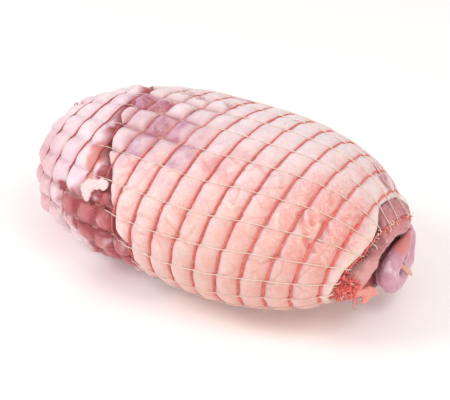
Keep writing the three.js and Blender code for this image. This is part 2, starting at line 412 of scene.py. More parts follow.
def thread_angle(place, x):
    """The angle of the place-th thread, with fractions between two threads."""
    even = FIRST_THREAD_ANGLE + 2 * math.pi * place / THREAD_COUNT
    return even + THREAD_CROWDING * np.sin(2 * even) + net_twist(x)


def thread_place(x, angle):
    """How many threads round from the first one each point lies."""
    untwisted = angle - net_twist(x)
    even = untwisted
    for _ in range(4):
        even = untwisted - THREAD_CROWDING * np.sin(2 * even)
    return (even - FIRST_THREAD_ANGLE) / (2 * math.pi) * THREAD_COUNT


def hoop_shift(place):
    """How far a hoop strays along the roll: it slants between two threads and steps back under each."""
    return np.interp(np.mod(place, 1), [0, 0.08, 0.92, 1], [0, -0.5, 0.5, 0]) * sizes().hoop_jog


def edge_line(angle, points):
    """The place along the roll of an edge at each angle, its corners rounded off."""
    degrees = np.asarray(angle) / DEGREE
    angles = [p[0] for p in points]
    places = [p[1] * MM for p in points]
    rounding = (-5, -2.5, 0, 2.5, 5)
    return sum(np.interp(degrees + r, angles, places) for r in rounding) / len(rounding)


def grain(points, size, offset):
    """Smooth noise from about -1 to 1 whose lumps are `size` across."""
    shift = Vector((offset, offset * 0.37, offset * 0.71))
    values = [noise.noise(Vector(point) / size + shift) for point in points.reshape(-1, 3)]
    return np.array(values).reshape(points.shape[:-1])


def spread(x, angle, patches, wander):
    """How far each point lies inside any of the patches, from 0 to 1, with wandering borders."""
    most = np.zeros_like(x)
    for at, round_at, half_along, half_round in patches:
        away = np.hypot((x / MM - at) / half_along, (angle / DEGREE - round_at) / half_round)
        most = np.maximum(most, 1 - smoothstep(0.55, 1.25, away + wander))
    return most


def crease_depth(x, angle):
    """How far creases sink at each point, from 0 to 1, and how far wrinkles rise, below 0."""
    radius = 62
    width = 1.2
    bank_at = 2.4 * width
    bank_height = 0.3
    flat = np.stack([x / MM, angle * radius], axis=-1)
    depth = np.zeros(x.shape)
    for share, *line in CREASES:
        corners = [np.array([at, degrees * DEGREE * radius]) for at, degrees in line]
        nearest = np.full(x.shape, np.inf)
        for start, end in zip(corners, corners[1:]):
            run = end - start
            part = np.clip(((flat - start) @ run) / (run @ run), 0, 1)
            nearest = np.minimum(nearest, np.linalg.norm(flat - start - part[..., None] * run, axis=-1))
        bank = bank_height * np.exp(-(((nearest - bank_at) / width) ** 2))
        depth = depth + share * (np.exp(-((nearest / width) ** 2)) - bank)
    return depth


def wrinkles(points):
    """Fine wrinkles that come and go over the fat, from 0 to 1."""
    lines = np.exp(-((grain(points, 11 * MM, 83) / 0.09) ** 2))
    return lines * smoothstep(-0.15, 0.25, grain(points, 24 * MM, 89))


def hoop_station(number, angle):
    """The place of a hoop along the roll at each angle."""
    if number > 0:
        return np.full(np.shape(angle), HOOPS[number])
    return edge_line(angle, SLIPPED_HOOP)


def valley(nearness):
    """How deep the net presses, from 0 midway between cords to 1 under one: full pillows, sharp creases."""
    return 0.4 * nearness**2 + 0.6 * (1 - np.sqrt(1 - nearness**2))


class NetPress:
    """How the net presses on points of the roll, where the nearest hoop is, and which cell they lie in."""

    def __init__(self, x, angle):
        place = thread_place(x, angle)
        shift = hoop_shift(place)
        self.offset = np.full(x.shape, np.inf)
        half_pitch = np.full(x.shape, FIRST_PITCH / 2)
        for number in range(HOOP_COUNT):
            offset = x - hoop_station(number, angle) - shift
            closer = np.abs(offset) < np.abs(self.offset)
            self.offset = np.where(closer, offset, self.offset)
            half_pitch = np.where(closer, (FIRST_PITCH + PITCH_GROWTH * number) / 2, half_pitch)
        away = np.abs(place - np.round(place)) * 2
        inside = band(x, HOOPS[-1] - NET_FADE, HOOPS[-1], HOOPS[0], HOOPS[0] + NET_FADE)
        self.hoop = valley(np.clip(1 - np.abs(self.offset) / half_pitch, 0, 1))
        self.thread = np.clip(1 - away / 0.3, 0, 1) ** 1.5 * inside
        self.quilt = valley(1 - away) * inside
        self.column = np.mod(np.floor(place), THREAD_COUNT).astype(int)
        self.row = sum((x < station + shift).astype(int) for station in HOOPS)
        self.puff = CELL_PUFFS[self.row, self.column] * (1 - self.hoop) * (1 - self.quilt)


def softness(x, angle):
    """Where threads quilt the meat: the lean beside the cap's far edge and lobes at its upper corner."""
    degrees = angle / DEGREE
    beyond = smoothstep(-4 * MM, 3 * MM, edge_line(angle, FAR_EDGE) - x)
    low = band(degrees, 148, 164, 250, 280)
    reach = x / MM + 2.2 * np.maximum(degrees - 118, 0)
    lobes = (1 - smoothstep(-20, 6, reach)) * band(degrees, 60, 88, 134, 150)
    return np.maximum(beyond * (0.55 + 0.45 * low), lobes * (1 - beyond))


def far_softness(x, soft):
    """Where hoops sink in deep: wherever threads quilt the meat, and all round the far end."""
    return np.maximum(soft, 1 - smoothstep(-70 * MM, -40 * MM, x))


def furrow_lift(x, angle):
    """How far the net presses the surface in, as a negative lift, and how far single cells swell."""
    press = NetPress(x, angle)
    soft = softness(x, angle)
    threads = sizes().firm_thread_furrow * press.thread + sizes().thread_furrow * soft * press.quilt
    low = band(angle / DEGREE, 165, 205, 235, 260)
    deeper = np.maximum(far_softness(x, soft), 0.8 * low)
    hoops = sizes().firm_hoop_furrow + (sizes().hoop_furrow - sizes().firm_hoop_furrow) * deeper
    swell = (0.3 + 1.2 * soft) * MM * press.puff
    return swell - hoops * press.hoop - threads * (1 - press.hoop)


def cap_lift(x, angle):
    """The fat cap's relief: furrows, creases, uneven fat and sunken bare patches."""
    points = roll_point(x, angle)
    wander = 0.35 * grain(points, 6 * MM, 3)
    uneven = 0.9 * MM * grain(points, 34 * MM, 11) + 0.45 * MM * grain(points, 12 * MM, 23)
    fine = 0.2 * MM * grain(points, 4 * MM, 5)
    sunken = -1.4 * MM * spread(x, angle, BARE_LEAN, wander)
    pressed = 1.2 * MM * crease_depth(x, angle) + 0.6 * MM * wrinkles(points)
    return furrow_lift(x, angle) + uneven + fine + sunken - pressed


def below_crevice(points):
    """How far points on the cut end lie below the crevice, from 0 to 1."""
    along, across, up = np.moveaxis(points / MM, -1, 0)
    line = np.interp(across, [corner[0] for corner in CREVICE], [corner[1] for corner in CREVICE])
    return smoothstep(0, 6, line - up) * smoothstep(-20, -9, across) * smoothstep(94, 102, along)


def far_gap(angle):
    """How wide the gap beside the cap's far edge gapes: wide on the front, nearly shut elsewhere."""
    return 0.15 + 0.85 * band(angle / DEGREE, 96, 116, 215, 240)


def lean_lift(x, angle):
    """The lean's relief: hidden under the cap, sunken beside its edges, swollen and hollow at the cut end."""
    points = roll_point(x, angle)
    uneven = 0.8 * MM * grain(points, 22 * MM, 31) + 0.5 * MM * grain(points, 8 * MM, 37)
    beyond_far = edge_line(angle, FAR_EDGE) - x
    beyond_cut = x - edge_line(angle, CUT_EDGE)
    open_gap = far_gap(angle)
    open_lip = 0.4 + 0.6 * smoothstep(84, 98, angle / DEGREE)
    beside_far = sizes().gap_depth * open_gap * (1 - smoothstep(2 * MM, 13 * MM, beyond_far))
    slow_rise = 1.2 * MM * open_gap * (1 - smoothstep(10 * MM, 40 * MM, beyond_far))
    beside_cut = sizes().lip_depth * open_lip * (1 - smoothstep(1 * MM, 9 * MM, beyond_cut))
    covered = (beyond_far < 0) & (beyond_cut < 0)
    swollen = 3 * MM * spread(x, angle, SWOLLEN_LEAN, np.zeros_like(x))
    hollow = sizes().hollow_depth * below_crevice(points)
    drop = np.where(x < BETWEEN_EDGES, beside_far + slow_rise, beside_cut)
    drop = np.where(covered, sizes().gap_depth + 1.6 * MM, drop)
    return 1.15 * furrow_lift(x, angle) + uneven - drop + swollen - hollow


def visible_lift(x, angle):
    """The relief of whichever skin shows at each point."""
    on_cap = (x > edge_line(angle, FAR_EDGE)) & (x < edge_line(angle, CUT_EDGE))
    return np.where(on_cap, cap_lift(x, angle), lean_lift(x, angle))


def seam_angle(angle):
    """The same angle counted from the seam on."""
    start = SEAM_START * DEGREE
    return np.mod(angle - start, 2 * math.pi) + start


# Places of the share, both colours and the result among the sockets of a mixing node
MIX_SHARE = 0
MIX_UNDER = 6
MIX_OVER = 7
MIX_RESULT = 2


class Finish:
    """A node material under construction."""

    def __init__(self, name):
        self.material = bpy.data.materials.new(name)
        self.material.use_nodes = True
        self.tree = self.material.node_tree
        self.shader = self.tree.nodes["Principled BSDF"]
        self.place = self.tree.nodes.new("ShaderNodeTexCoord").outputs["Object"]

    def fill(self, socket, value):
        if isinstance(value, bpy.types.NodeSocket):
            self.tree.links.new(value, socket)
        else:
            socket.default_value = value

    def stretched(self, scale):
        node = self.tree.nodes.new("ShaderNodeMapping")
        self.tree.links.new(self.place, node.inputs["Vector"])
        node.inputs["Scale"].default_value = scale
        return node.outputs["Vector"]

    def noise(self, size, detail=3.0, roughness=0.55, distortion=0.0, place=None):
        node = self.tree.nodes.new("ShaderNodeTexNoise")
        self.tree.links.new(place or self.place, node.inputs["Vector"])
        node.inputs["Scale"].default_value = 1 / size
        node.inputs["Detail"].default_value = detail
        node.inputs["Roughness"].default_value = roughness
        node.inputs["Distortion"].default_value = distortion
        return node.outputs["Fac"]

    def along(self, low, high):
        """A share that rises from 0 to 1 between two places along the roll."""
        node = self.tree.nodes.new("ShaderNodeSeparateXYZ")
        self.tree.links.new(self.place, node.inputs["Vector"])
        return self.remap(node.outputs["X"], low, high)

    def mask(self, name):
        node = self.tree.nodes.new("ShaderNodeAttribute")
        node.attribute_name = name
        return node.outputs["Fac"]

    def remap(self, value, low, high, to_low=0.0, to_high=1.0):
        node = self.tree.nodes.new("ShaderNodeMapRange")
        node.interpolation_type = "SMOOTHSTEP"
        self.fill(node.inputs["Value"], value)
        node.inputs["From Min"].default_value = low
        node.inputs["From Max"].default_value = high
        node.inputs["To Min"].default_value = to_low
        node.inputs["To Max"].default_value = to_high
        return node.outputs["Result"]

    def ridge(self, value, width):
        """Thin winding lines along which a noise is halfway."""
        return self.times(self.remap(value, 0.5 - width, 0.5), self.remap(value, 0.5, 0.5 + width, 1.0, 0.0))

    def combine(self, operation, first, second):
        node = self.tree.nodes.new("ShaderNodeMath")
        node.operation = operation
        node.use_clamp = True
        self.fill(node.inputs[0], first)
        self.fill(node.inputs[1], second)
        return node.outputs["Value"]

    def times(self, first, second):
        return self.combine("MULTIPLY", first, second)

    def plus(self, first, second):
        return self.combine("ADD", first, second)

    def blend(self, ground, *coats):
        """A ground colour under coats, each a colour and the shares that multiply to how far it covers."""
        colour = ground
        for coat, *shares in coats:
            node = self.tree.nodes.new("ShaderNodeMix")
            node.data_type = "RGBA"
            self.fill(node.inputs[MIX_SHARE], reduce(self.times, shares))
            self.fill(node.inputs[MIX_UNDER], colour)
            self.fill(node.inputs[MIX_OVER], coat)
            colour = node.outputs[MIX_RESULT]
        return colour

    def bump(self, height, depth, under=None):
        node = self.tree.nodes.new("ShaderNodeBump")
        node.inputs["Distance"].default_value = depth
        self.fill(node.inputs["Height"], height)
        if under is not None:
            self.tree.links.new(under, node.inputs["Normal"])
        return node.outputs["Normal"]

    def finish(self, colour, roughness, normal, **constants):
        self.fill(self.shader.inputs["Base Color"], colour)
        self.fill(self.shader.inputs["Roughness"], roughness)
        if normal is not None:
            self.fill(self.shader.inputs["Normal"], normal)
        for name, value in constants.items():
            self.shader.inputs[name.replace("_", " ").title()].default_value = value
        return self.material


SOFT_LIGHT = {"subsurface_weight": 0.35, "subsurface_radius": (1.0, 0.36, 0.26), "subsurface_scale": 2 * MM}


def fat_finish():
    """Outer fat: pink and cream with rosy, lilac and bare lean patches, redder beside the hoops from stain
    and painted shade, with painted highlights on top and on one side of each band and painted shade low on
    the front and in the creases.
    """
    paint = Finish("shoulder_fat")
    tint = tints()
    clouds = paint.remap(paint.noise(13 * MM, 4, 0.6), 0.42, 0.64)
    cool_clouds = paint.remap(paint.noise(16 * MM, 3, 0.6, 0.5, paint.stretched((1.3, 1.0, 1.1))), 0.48, 0.66)
    wisps = paint.remap(paint.noise(5 * MM, 5, 0.62, 1.4), 0.48, 0.66)
    flecks = paint.remap(paint.noise(2.6 * MM, 4, 0.65, 0.6), 0.54, 0.72)
    towards_cut = paint.remap(paint.along(-10 * MM, 60 * MM), 0, 1, 0.1, 0.5)
    uneven_rose = paint.remap(paint.noise(5 * MM, 5, 0.65, 0.8), 0.3, 0.62, 0.5, 1.0)
    streaks = paint.ridge(paint.noise(9 * MM, 4, 0.6, 1.2), 0.035)
    fibres = paint.ridge(paint.noise(4.5 * MM, 5, 0.6, 1.6, paint.stretched((1.0, -1.1, 1.0))), 0.04)
    bruises = paint.remap(paint.noise(9 * MM, 3, 0.6, 0.6, paint.stretched((1.0, 1.1, -1.2))), 0.5, 0.68)
    veins = paint.ridge(paint.noise(8 * MM, 4, 0.6, 0.9, paint.stretched((1.2, -1.0, 1.1))), 0.03)
    uneven_lilac = paint.remap(paint.noise(6 * MM, 4, 0.6, 0.7), 0.25, 0.6, 0.65, 1.0)
    torn_open = paint.remap(paint.noise(3 * MM, 4, 0.7, 1.0), 0.3, 0.62, 0.15, 0.7)
    colour = paint.blend(
        tint.fat,
        (tint.rosy_fat, clouds, towards_cut),
        (tint.pale_fat, cool_clouds, 0.6),
        (tint.pale_fat, wisps, 0.35),
        (tint.rosy_fat, paint.mask("rosy"), uneven_rose),
        (tint.rosy_fat, flecks, 0.14),
        (tint.cream_fat, streaks, 0.5),
        (tint.pale_fat, fibres, 0.4),
        (tint.lilac_fat, bruises, 0.16),
        (tint.rosy_fat, veins, 0.2),
        (tint.rosy_fat, paint.mask("wrinkle"), 0.45),
        # Painted highlight: the top of the roll is paler, as if lit from above; the soft lobes are pale fat
        (tint.pale_fat, paint.mask("pale"), 0.8),
        (tint.lilac_fat, paint.mask("lilac"), uneven_lilac),
        (tint.pale_fat, paint.mask("lilac"), wisps, 0.3),
        # Painted shade: low on the front the fat is a darker, warmer peach, as if in shade
        (tint.shaded_peach_fat, paint.mask("low"), 0.55),
        (tint.cream_fat, paint.mask("lip"), 0.8),
        (tint.lean, paint.mask("bare"), torn_open),
        # Painted highlight on each band's side just past a hoop, and painted shade with some stain on its
        # side before the next hoop
        (tint.membrane, paint.mask("crest"), 0.35),
        (tint.stained_fat, paint.mask("flank"), 0.3),
        # Redder right beside each hoop: partly stain, partly painted shade
        (tint.stained_fat, paint.mask("furrow"), 0.35),
        # Painted shade: lean colour and near black in the creases of the soft meat
        (tint.lean, paint.mask("crease"), 0.8),
        (tint.shadowed_lean, paint.remap(paint.mask("crease"), 0.55, 1, 0, 0.7)),
    )
    roughness = paint.remap(paint.noise(6 * MM, 3), 0.3, 0.7, 0.28, 0.5)
    normal = paint.bump(paint.noise(5 * MM, 4, 0.6, 0.8), 1.1 * MM)
    normal = paint.bump(paint.noise(2.4 * MM, 4, 0.65, 1.2), 0.45 * MM, normal)
    normal = paint.bump(paint.noise(1.1 * MM, 3, 0.6), 0.14 * MM, normal)
    return paint.finish(colour, roughness, normal, **SOFT_LIGHT)


def lean_finish():
    """Lean meat with its thin skin, mauve on the cut end; painted shade darkens its gaps, grooves, the hollow
    behind the fold and the lower far end, and a painted highlight lightens the crowns of its cells.
    """
    paint = Finish("shoulder_lean")
    tint = tints()
    clouds = paint.remap(paint.noise(9 * MM, 4, 0.6), 0.38, 0.66)
    blotches = paint.remap(paint.noise(12 * MM, 4, 0.6, 0.6), 0.52, 0.7)
    fibres = paint.noise(2.2 * MM, 4, 0.6, 0.5, paint.stretched((0.35, 1.0, 1.0)))
    wisps = paint.remap(paint.noise(5 * MM, 5, 0.6, 1.5), 0.55, 0.7)
    skin = paint.blend(
        tint.membrane,
        (tint.pale_fat, clouds, 0.8),
        (tint.rosy_fat, blotches, 0.2),
        # Painted shade: the lower far end is darker
        (tint.mauve_lean, paint.mask("dusk")),
        (tint.stained_fat, paint.mask("stain"), 0.85),
    )
    meat = paint.blend(
        tint.lean,
        (tint.mauve_lean, paint.remap(fibres, 0.45, 0.85)),
        # Painted highlight on the crowns of the cells
        (tint.mauve_lean, paint.mask("crown"), 0.5),
        (tint.membrane, wisps, 0.15),
    )
    cut = paint.blend(
        tint.mauve_lean,
        (tint.lean, paint.remap(fibres, 0.35, 0.7)),
        (tint.stained_fat, 0.25),
        (tint.stained_fat, paint.mask("blush"), 0.65),
        (tint.fat, paint.mask("blush"), 0.2),
        (tint.membrane, paint.plus(paint.times(wisps, 0.35), 0.14)),
    )
    # Painted shade in the grooves
    groove = paint.blend(tint.lean, (tint.shadowed_lean, paint.mask("lean")))
    colour = paint.blend(
        skin,
        (meat, paint.mask("lean")),
        (cut, paint.mask("cut")),
        (groove, paint.mask("furrow"), 0.6),
        # Painted shade in the gaps and in the hollow behind the fold
        (tint.shadowed_lean, paint.mask("deep")),
    )
    roughness = paint.remap(paint.noise(5 * MM, 3), 0.3, 0.7, 0.28, 0.48)
    normal = paint.bump(paint.noise(4 * MM, 4, 0.6, 0.8), 1.0 * MM)
    normal = paint.bump(fibres, 0.25 * MM, normal)
    return paint.finish(colour, roughness, normal, **SOFT_LIGHT)


def fold_finish():
    """The fold's smooth skin: lilac and silvery with pale streaks of painted sheen, salmon on its upper face,
    and painted shade in dark red in its groove and the crevice behind its lobes.
    """
    paint = Finish("shoulder_fold")
    tint = tints()
    clouds = paint.remap(paint.noise(6 * MM, 4, 0.6), 0.38, 0.66)
    # Painted sheen: pale streaks that stand in for highlights on the skin
    sheen = paint.remap(paint.noise(8 * MM, 3, 0.55, 0.8, paint.stretched((1.0, 1.0, 0.5))), 0.5, 0.68)
    salmon = paint.blend(tint.mauve_lean, (tint.stained_fat, paint.plus(paint.times(clouds, 0.4), 0.35)))
    meat = paint.blend(tint.lean, (tint.mauve_lean, clouds, 0.5))
    colour = paint.blend(
        tint.lilac_fat,
        (tint.membrane, paint.plus(paint.times(clouds, 0.35), 0.15)),
        (tint.mauve_lean, 0.22),
        (tint.pale_fat, sheen, 0.7),
        (salmon, paint.mask("salmon")),
        (meat, paint.mask("root")),
        # Painted shade in the groove and the crevice
        (tint.shadowed_lean, paint.mask("deep")),
    )
    normal = paint.bump(paint.noise(4 * MM, 3, 0.55, 0.5), 0.5 * MM)
    return paint.finish(colour, 0.34, normal, **SOFT_LIGHT)


def scrap_finish():
    """Loose scraps of white and pink fat."""
    paint = Finish("shoulder_scrap")
    tint = tints()
    clouds = paint.remap(paint.noise(5 * MM, 4, 0.6), 0.42, 0.68)
    colour = paint.blend(tint.pale_fat, (tint.fat, clouds, 0.5), (tint.rosy_fat, paint.mask("blush")))
    normal = paint.bump(paint.noise(2 * MM, 4, 0.6), 0.6 * MM)
    return paint.finish(colour, 0.48, normal, **SOFT_LIGHT)


def sinew_finish():
    """A yellowish strand of sinew."""
    paint = Finish("shoulder_sinew")
    tint = tints()
    strands = paint.remap(paint.noise(1.2 * MM, 3, 0.6), 0.4, 0.7)
    colour = paint.blend(tint.sinew, (tint.fat, strands))
    normal = paint.bump(strands, 0.3 * MM)
    return paint.finish(colour, 0.4, normal, **SOFT_LIGHT)


def hoop_finish():
    """Elastic cord: red fibres, paler where they are worn and duller at the far end."""
    paint = Finish("net_hoop_yarn")
    tint = tints()
    worn = paint.remap(paint.noise(1.4 * MM, 3, 0.7), 0.45, 0.7)
    soaked = paint.remap(paint.noise(1.7 * MM, 3, 0.7, 0.0, paint.stretched((1.0, -1.0, 1.0))), 0.48, 0.66)
    patchy = paint.remap(paint.noise(25 * MM, 2), 0.45, 0.75)
    colour = paint.blend(
        tint.hoop,
        (tint.worn_hoop, worn, 0.8),
        (tint.lean, soaked, 0.6),
        (tint.worn_hoop, patchy, 0.3),
        (tint.lean, paint.along(-14 * MM, -44 * MM), paint.along(-106 * MM, -100 * MM), 0.6),
    )
    normal = paint.bump(paint.noise(0.5 * MM, 2), 0.2 * MM)
    return paint.finish(colour, 0.78, normal, sheen_weight=0.2)


def thread_finish():
    """Cotton thread, cream with a little pink soaked in."""
    paint = Finish("net_thread_yarn")
    tint = tints()
    soaked = paint.remap(paint.noise(9 * MM, 3), 0.4, 0.75)
    far = paint.along(-30 * MM, -60 * MM)
    colour = paint.blend(tint.thread, (tint.fat, soaked, 0.3), (tint.membrane, far, 0.5))
    normal = paint.bump(paint.noise(0.4 * MM, 2), 0.02 * MM)
    return paint.finish(colour, 0.7, normal, sheen_weight=0.2)


def floor_finish():
    """A matt pale floor with the faintest unevenness."""
    paint = Finish("studio_floor")
    pale = tints().floor
    dimmer = [light * 0.985 for light in pale[:3]] + [1.0]
    colour = paint.blend(pale, (dimmer, paint.noise(0.3, 2)))
    return paint.finish(colour, 0.8, None, **FLOOR_GLOW)


def set_mask(mesh, name, values):
    mask = mesh.attributes.new(name, "FLOAT", "POINT")
    mask.data.foreach_set("value", np.clip(values, 0, 1).astype(np.float32).ravel())


def vertex_places(mesh):
    places = np.empty(len(mesh.vertices) * 3)
    mesh.vertices.foreach_get("co", places)
    return places.reshape(-1, 3)


def set_vertices(mesh, points):
    mesh.vertices.foreach_set("co", points.astype(np.float32).ravel())
    mesh.shade_smooth()
    mesh.update()


def add_piece(name, mesh, material, slot, *nodes):
    """Links a finished mesh as a piece that rides with the meat and stands for those solids."""
    mesh.materials.clear()
    mesh.materials.append(material)
    piece = bpy.data.objects.new(name, mesh)
    bpy.context.scene.collection.objects.link(piece)
    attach(piece, "root")
    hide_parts(*nodes)


def mesh_from(build):
    """A mesh made by a function that fills a new bmesh."""
    shape = bmesh.new()
    build(shape)
    mesh = bpy.data.meshes.new("skin")
    shape.to_mesh(mesh)
    shape.free()
    return mesh


def baked(holder):
    """The mesh of an object with its modifiers or its section applied; the object itself goes."""
    bpy.context.scene.collection.objects.link(holder)
    graph = bpy.context.evaluated_depsgraph_get()
    mesh = bpy.data.meshes.new_from_object(holder.evaluated_get(graph))
    bpy.data.objects.remove(holder)
    return mesh


def station_rows(share):
    """Places along the roll for rows that lie evenly over its sides and both its ends."""
    upper_front = 135 * DEGREE
    sample = np.linspace(-1, 1, 4001)
    eased = np.sign(sample) * (1 - (1 - np.abs(sample)) ** 3)
    x = WIDEST_AT + eased * np.where(eased < 0, WIDEST_AT - FAR_END, CUT_END - WIDEST_AT)
    run = run_along(roll_point(x, np.full_like(x, upper_front)))
    return np.interp(share, run / run[-1], x)


def mark_lean(mesh, x, angle, points):
    """Marks where the lean lies bare or under skin and stained, and where shade is painted: in grooves, in
    the gaps, in the hollow behind the fold and low on the far end; also a painted highlight on the crowns of
    the cells.
    """
    degrees = angle / DEGREE
    wander = 0.4 * grain(points, 5 * MM, 41)
    press = NetPress(x, angle)
    beyond_far = edge_line(angle, FAR_EDGE) - x
    beyond_cut = x - edge_line(angle, CUT_EDGE)
    far_half = x < BETWEEN_EDGES
    beside = np.where(far_half, 1 - smoothstep(4 * MM, 10 * MM, beyond_far + 3 * MM * wander), 0)
    low = smoothstep(150, 168, degrees)
    # Painted shade: the far end is darker lower down
    dusk = 0.02 + 0.5 * smoothstep(115, 160, degrees)
    from_edge = np.where(far_half, np.abs(beyond_far), np.abs(beyond_cut))
    open_gap = np.where(far_half, far_gap(angle), 0.3 + 0.7 * smoothstep(84, 98, degrees))
    gap_shade = 0.9 * open_gap * (1 - smoothstep(1 * MM, 7 * MM, from_edge + 4 * MM * wander))
    # Painted shade in the hollow behind the fold
    hollow = smoothstep(0.1, 0.6, below_crevice(roll_point(x, angle)))
    set_mask(mesh, "lean", np.maximum(spread(x, angle, PLAIN_LEAN, wander), beside))
    set_mask(mesh, "stain", spread(x, angle, STAINED_STRIP, wander))
    set_mask(mesh, "dusk", dusk * (1 - smoothstep(-100 * MM, -55 * MM, x)))
    set_mask(mesh, "cut", smoothstep(-1 * MM, 1 * MM, beyond_cut))
    set_mask(mesh, "blush", smoothstep(110, 150, degrees))
    # Painted highlight on the crowns of the cells
    set_mask(mesh, "crown", smoothstep(0.5, 0.95, (1 - press.hoop) * (1 - press.quilt)))
    # Painted shade in the furrows
    set_mask(mesh, "furrow", np.maximum(press.hoop**3, (0.3 + 0.6 * low) * press.quilt**2))
    set_mask(mesh, "deep", np.maximum(gap_shade, hollow))


class SHOULDER_OT_lean(bpy.types.Operator):
    """Make the lean roll that shows beside the fat cap and at both ends"""

    bl_idname = "shoulder.lean"
    bl_label = "Lean Roll"

    def execute(self, context):
        mesh = mesh_from(lambda shape: bmesh.ops.create_uvsphere(
            shape, u_segments=LEAN_COLUMNS, v_segments=LEAN_ROWS, radius=1))
        ball = vertex_places(mesh)
        share = 1 - np.arccos(np.clip(ball[:, 2], -1, 1)) / math.pi
        x = np.clip(station_rows(share), FAR_END, CUT_END)
        angle = seam_angle(np.arctan2(ball[:, 1], ball[:, 0]))
        points = point_above(x, angle, lean_lift(x, angle))
        set_vertices(mesh, points)
        mark_lean(mesh, x, angle, points)
        add_piece("lean_roll", mesh, lean_finish(), "raw_meat", "meat_roll")
        return {"FINISHED"}


def cap_edges(angle):
    """The fat cap's far and cut edges at each angle: ragged, the far one drawn in under the threads."""
    far_line = edge_line(angle, FAR_EDGE)
    ragged = 1.1 * MM * grain(roll_point(far_line, angle), 5 * MM, 53)
    drawn_in = softness(far_line + 8 * MM, angle) * NetPress(far_line, angle).quilt
    far_edge = far_line + ragged + 3 * MM * (drawn_in - 0.25)
    return far_edge, edge_line(angle, CUT_EDGE) + 0.25 * ragged


def rounded_rim(share, radius):
    """How far a rim reaches out and sinks, by the share of the way from its underside to its top."""
    turn = (-90 + 180 * share) * DEGREE
    on_rim = share < 1
    return radius * np.cos(turn) * on_rim, radius * (1 - np.sin(turn)) * on_rim


def mark_cap(mesh, x, angle, points, from_lip):
    """Marks the fat: a painted highlight on top and on each band's side past a hoop, painted shade low on the
    front and in the creases, stain with painted shade beside and before each hoop, rosy near the lip, and
    lilac or bare where it is thin.
    """
    along = x / MM
    degrees = angle / DEGREE
    wander = 0.4 * grain(points, 6 * MM, 3)
    press = NetPress(x, angle)
    offset = press.offset / MM
    soft = softness(x, angle)
    creases = crease_depth(x, angle)
    top = band(degrees, 20, 60, 85, 125)
    # Painted highlight: the top of the roll is paler, as if lit from above, and less so towards the cut end
    dry = 0.9 * top * (1 - 0.6 * smoothstep(35, 75, along))
    lip = 1 - smoothstep(1.5, 8, from_lip / MM)
    near_lip = smoothstep(35, 80, along) * smoothstep(84, 106, degrees)
    near_lip = near_lip * (1 - 0.5 * smoothstep(150, 175, degrees)) + 0.4 * wander
    low_front = band(degrees, 140, 185, 225, 255)
    rosy = np.maximum(0.5 * spread(x, angle, ROSY_FAT, 1.6 * wander), 0.1 * low_front)
    # Painted shade low on the front
    low_front_shade = band(degrees, 122, 165, 225, 255) * smoothstep(-25, 40, along)
    upper_left = (1 - smoothstep(0, 60, along)) * band(degrees, 80, 95, 130, 160)
    tinge = 0.3 * upper_left * smoothstep(-0.2, 0.5, grain(points, 13 * MM, 97))
    across_cell = np.mod(press.offset / FIRST_PITCH, 1)
    thin = smoothstep(-0.35, 0.3, 0.6 - across_cell + 0.8 * grain(points, 8 * MM, 101))
    for row, column, share in LILAC_CELLS:
        inside = (press.row == row) & (press.column == column)
        tinge = np.where(inside, share * (0.35 + 0.75 * thin), tinge)
    # Painted shade with some stain before each hoop, and a painted highlight past it, where each band faces
    # away from or towards the light
    before_hoop_stain_and_shade = np.where(offset < 0, 1 - smoothstep(0.3, 6.5, -offset), 0)
    lit_after_hoop = np.where(offset > 0, 1 - smoothstep(1.2, 6.5, offset), 0)
    set_mask(mesh, "pale", np.maximum(dry, 0.8 * soft))
    set_mask(mesh, "wrinkle", np.maximum(wrinkles(roll_point(x, angle)), creases))
    set_mask(mesh, "lip", np.maximum(lip * (1 - 0.6 * top), -0.9 * creases))
    set_mask(mesh, "rosy", np.maximum(rosy, near_lip) * (1 - lip))
    set_mask(mesh, "low", low_front_shade * (1 - 0.5 * np.clip(near_lip, 0, 1)))
    set_mask(mesh, "lilac", np.maximum(spread(x, angle, LILAC_FAT, 2 * wander), tinge))
    set_mask(mesh, "bare", spread(x, angle, BARE_LEAN, wander))
    set_mask(mesh, "flank", before_hoop_stain_and_shade * (1 - 0.7 * top))
    set_mask(mesh, "crest", lit_after_hoop)
    # Beside each hoop: stain and painted shade
    set_mask(mesh, "furrow", 1 - smoothstep(0.5, 1.8, np.abs(offset)))
    # Painted shade in the creases of the soft meat
    set_mask(mesh, "crease", soft * np.maximum(press.quilt, press.hoop) ** 1.6)


class SHOULDER_OT_cap(bpy.types.Operator):
    """Make the fat cap: a thick sheet round the roll with rolled edges and a lapped seam"""

    bl_idname = "shoulder.cap"
    bl_label = "Fat Cap"

    def execute(self, context):
        mesh = mesh_from(lambda shape: bmesh.ops.create_grid(
            shape, x_segments=CAP_COLUMNS, y_segments=CAP_ROWS, size=0.5))
        around, along, _ = (vertex_places(mesh) + 0.5).T
        thickness = sizes().cap_thickness
        degrees = SEAM_START + (SEAM_END - SEAM_START) * around
        angle = degrees * DEGREE
        far_edge, cut_edge = cap_edges(angle)
        rim_share = CAP_EDGE_ROWS / CAP_ROWS
        far_reach, far_sink = rounded_rim(np.clip(along / rim_share, 0, 1), thickness / 2)
        cut_reach, cut_sink = rounded_rim(np.clip((1 - along) / rim_share, 0, 1), thickness / 2)
        main = np.clip((along - rim_share) / (1 - 2 * rim_share), 0, 1)
        x = far_edge + thickness / 2 + (cut_edge - far_edge - thickness) * main
        x = x - far_reach + cut_reach
        lapped = smoothstep(SEAM_END - SEAM_LAP, SEAM_END, degrees)
        risen = np.sin(np.clip((degrees - SEAM_START) / SEAM_ROUNDING, 0, 1) * 90 * DEGREE)
        sink = far_sink + cut_sink + thickness * (lapped + 1 - risen)
        points = point_above(x, angle, cap_lift(x, angle) - sink)
        set_vertices(mesh, points)
        mark_cap(mesh, x, angle, points, cut_edge - x)
        add_piece("fat_cap", mesh, fat_finish(), "raw_meat", "meat_roll")
        return {"FINISHED"}


